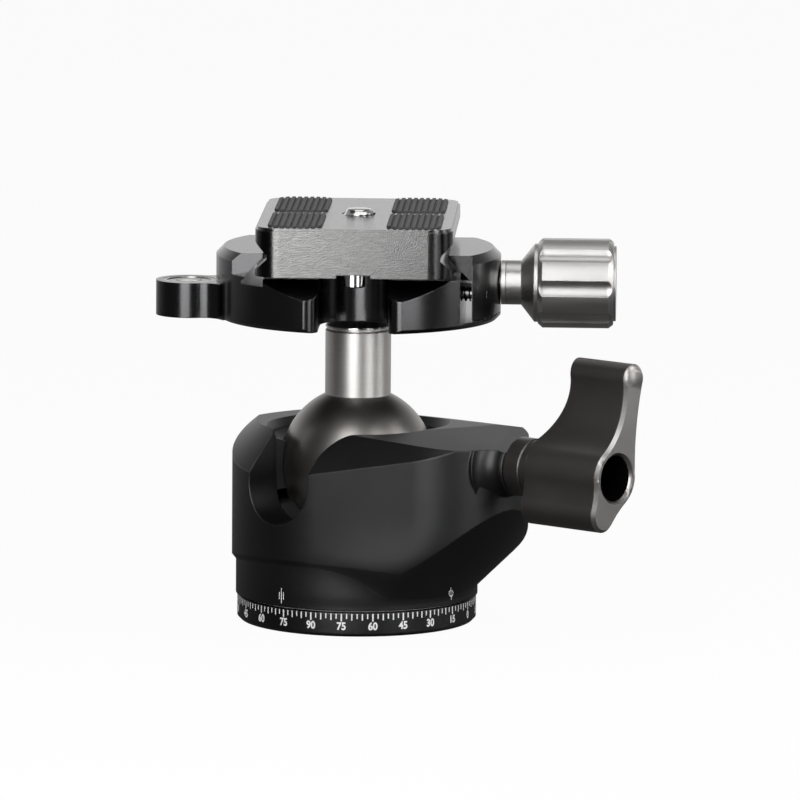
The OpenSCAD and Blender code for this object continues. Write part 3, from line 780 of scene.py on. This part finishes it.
bpy.ops.object.select_all(action="DESELECT")
vial_top = (level_at, 0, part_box("level_vial")[1][2])
bpy.ops.mesh.primitive_torus_add(major_segments=48, minor_segments=8, major_radius=0.00235,
                                 minor_radius=0.00012, location=vial_top)
level_ring = bpy.context.object
level_ring.name = "level_ring"
bpy.ops.object.mode_set(mode="EDIT")
bpy.ops.transform.resize(value=(1, 1, 0.12))
bpy.ops.object.mode_set(mode="OBJECT")
bpy.ops.object.transform_apply(location=True, rotation=True, scale=True)
black_print = Finish("black_print", rough=0.5)
print_grain = black_print.noise(3000, 2)
black_print.set("Base Color", black_print.mix(print_grain, (0.01, 0.01, 0.01, 1), (0.035, 0.035, 0.035, 1)))
level_ring.data.materials.append(black_print.mat)
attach(level_ring, "head")


# ---------------------------------------------------------------- jaw guides and springs
# Two dowel pins keep the jaw square, and a coil spring round each pushes it open when the knob
# is undone. The pins are ground steel and the springs are wound from blued wire.
pin_steel = Finish("ground_pin", metal=1.0)
ground = pin_steel.noise(1.0, 2, pin_steel.place((6000, 300, 300)))
pin_steel.set("Base Color", pin_steel.mix(ground, (0.3, 0.3, 0.31, 1), (0.42, 0.42, 0.43, 1)))
pin_steel.set("Roughness", ground * 0.15 + 0.2)
pin_steel.on("guide_pins")

spring_low, spring_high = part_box("jaw_springs")
spring_z = (spring_low[2] + spring_high[2]) / 2
spring_y = spring_high[1] - (spring_high[2] - spring_low[2]) / 2
wire_r = 0.00017
coil_r = (spring_high[2] - spring_low[2]) / 2 - wire_r
coil_length = spring_high[0] - spring_low[0] - 2 * wire_r
coil_turns = 8
corners = [t * math.pi / 3 for t in range(6)]
wire = [(coil_r + wire_r * math.cos(corner), wire_r * math.sin(corner)) for corner in corners]
lying = Matrix.Rotation(math.pi / 2, 4, "Y")
coils = []
for side in (-1, 1):
    coil = wound("coil", wire, coil_length / coil_turns, coil_turns, 20)
    bpy.ops.object.mode_set(mode="EDIT")
    bpy.ops.mesh.select_all(action="SELECT")
    bpy.ops.object.mode_set(mode="OBJECT")
    coil.matrix_world = Matrix.Translation((spring_low[0] + wire_r, side * spring_y, spring_z)) @ lying
    bpy.ops.object.transform_apply(location=True, rotation=True, scale=True)
    coils.append(coil)
springs = joined("jaw_coils", coils, ())
blued = Finish("blued_wire", metal=1.0)
blueing = blued.noise(1200, 2)
blued.set("Base Color", blued.mix(blueing, (0.12, 0.12, 0.14, 1), (0.26, 0.26, 0.28, 1)))
blued.set("Roughness", blueing * 0.15 + 0.25)
springs.data.materials.append(blued.mat)
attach(springs, "head")
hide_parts("jaw_springs")


# ---------------------------------------------------------------- clamp knob
# The knob is turned from aluminium bar, its eight flutes are milled with a ball-ended cutter,
# and it is blasted and anodised in plain silver.
knob_silver = Finish("blasted_silver", metal=1.0)
knob_soft, knob_worn = knob_silver.rounded(0.00022)
knob_clouds = knob_silver.noise(120, 3)
knob_tone = knob_silver.mix(knob_clouds, (0.5, 0.49, 0.48, 1), (0.6, 0.59, 0.58, 1))
knob_silver.set("Base Color", knob_silver.mix(knob_worn * 0.6, knob_tone, (0.86, 0.85, 0.84, 1)))
knob_silver.set("Roughness", knob_clouds * 0.08 + 0.3)
knob_silver.set("Normal", knob_silver.bump(knob_silver.noise(5200, 2), 0.00005, 0.5, knob_soft))
knob_silver.on("clamp_knob")


# ---------------------------------------------------------------- plate
# The plate is sawn from dovetail bar and anodised black, and fine level lines run round its sides.
# Its long sides and round corners are painted almost black as painted shade, up to a thin band
# under the top, and the top keeps the plain, paler tone.
plate_black = Finish("brushed_black", metal=1.0)
plate_soft, plate_worn = plate_black.rounded(0.0002)
brushing = plate_black.noise(1.0, 3, plate_black.place((900, 900, 8500)))
specks = plate_black.noise(3800, 2)
plate_tone = plate_black.mix(brushing, (0.08, 0.08, 0.08, 1), (0.2, 0.199, 0.197, 1))
plate_tone = plate_black.mix(plate_worn * 0.4, plate_tone, (0.34, 0.34, 0.33, 1))
side_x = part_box("quick_plate")[1][0]
top_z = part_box("quick_plate")[1][2]
from_middle = plate_black.axis(0).maths("ABSOLUTE")
# Painted shade: the long sides and the round corners go almost black below the top.
shaded_sides = plate_black.fade(from_middle, side_x - 0.0038, side_x - 0.0028, 0.0, 0.85)
below_top = plate_black.fade(plate_black.axis(2), top_z - 0.0009, top_z - 0.0004, 1.0, 0.0)
painted_side_shade = (0.014, 0.014, 0.015, 1)
plate_black.set("Base Color", plate_black.mix(shaded_sides * below_top, plate_tone, painted_side_shade))
plate_black.set("Roughness", brushing * 0.08 + 0.15)
plate_grain = plate_black.bump(brushing, 0.00002, 0.6, plate_soft)
plate_black.set("Normal", plate_black.bump(specks, 0.00004, 0.6, plate_grain))
plate_black.on("quick_plate")


# ---------------------------------------------------------------- rubber pads
# Four moulded rubber pads are glued into pockets in the plate's top, with ribs that run front to
# back. The rubber is matt and a little dusty, and the top 0.3 mm of each rib is painted a little greyer.
rubber = Finish("ribbed_rubber")
rubber_dust = rubber.noise(900, 4)
rib_height = 0.0003
pad_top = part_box("rubber_pads")[1][2]
# The top 0.3 mm of each rib is painted a little greyer.
rib_tops = rubber.fade(rubber.axis(2), pad_top - rib_height, pad_top, 0.0, 1.0)
rubber_tone = rubber.mix(rubber_dust, (0.034, 0.034, 0.036, 1), (0.06, 0.06, 0.062, 1))
rubber.set("Base Color", rubber.mix(rib_tops * 0.6, rubber_tone, (0.09, 0.09, 0.093, 1)))
rubber.set("Roughness", rubber_dust * 0.2 + 0.55)
rubber.set("Normal", rubber.bump(rubber_dust, 0.00004, 0.5, rubber.rounded(0.00015)[0]))
rubber.on("rubber_pads")


# ---------------------------------------------------------------- camera screw
# A 1/4 inch stainless screw, 20 threads to the inch, held loosely in the plate by a washer. Its
# broad head has a coin slot and its tip is polished bright.
bright_steel = Finish("bright_steel", metal=1.0)
bright_marks = bright_steel.noise(1500, 2)
bright_steel.set("Base Color", bright_steel.mix(bright_marks, (0.66, 0.66, 0.66, 1), (0.86, 0.86, 0.85, 1)))
bright_steel.set("Roughness", bright_marks * 0.1 + 0.12)
bright_steel.set("Normal", bright_steel.rounded(0.0001)[0])
camera_pitch = 0.0254 / 20
camera_r = 0.003175
root_r = 0.00262
plate_foot = 0.0698
screw_head = 0.0038
head_top = plate_foot + screw_head
screw_core = own_copy("camera_screw", "camera_screw_core")
choose(screw_core, points=lambda vertex: vertex.co.z > head_top)
shrink = root_r / camera_r
bpy.ops.transform.resize(value=(shrink, shrink, 1), center_override=(0, 0, head_top))
bpy.ops.object.mode_set(mode="OBJECT")
bpy.ops.object.shade_smooth_by_angle(angle=math.radians(30))
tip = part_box("camera_screw")[1][2]
turns = int((tip - head_top) / camera_pitch)
ridge_low = tip - turns * camera_pitch - 0.00115
ridge_foot = root_r - 0.0001
camera_outline = [(ridge_foot, ridge_low), (camera_r, ridge_low + 0.00045),
                  (camera_r, ridge_low + 0.00057), (ridge_foot, ridge_low + 0.00102)]
camera_ridge = wound("camera_ridge", camera_outline, camera_pitch, turns, 32)
camera_screw = joined("threaded_camera_screw", [screw_core, camera_ridge], ())
camera_screw.data.materials.append(bright_steel.mat)
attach(camera_screw, "camera_screw")
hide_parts("camera_screw")
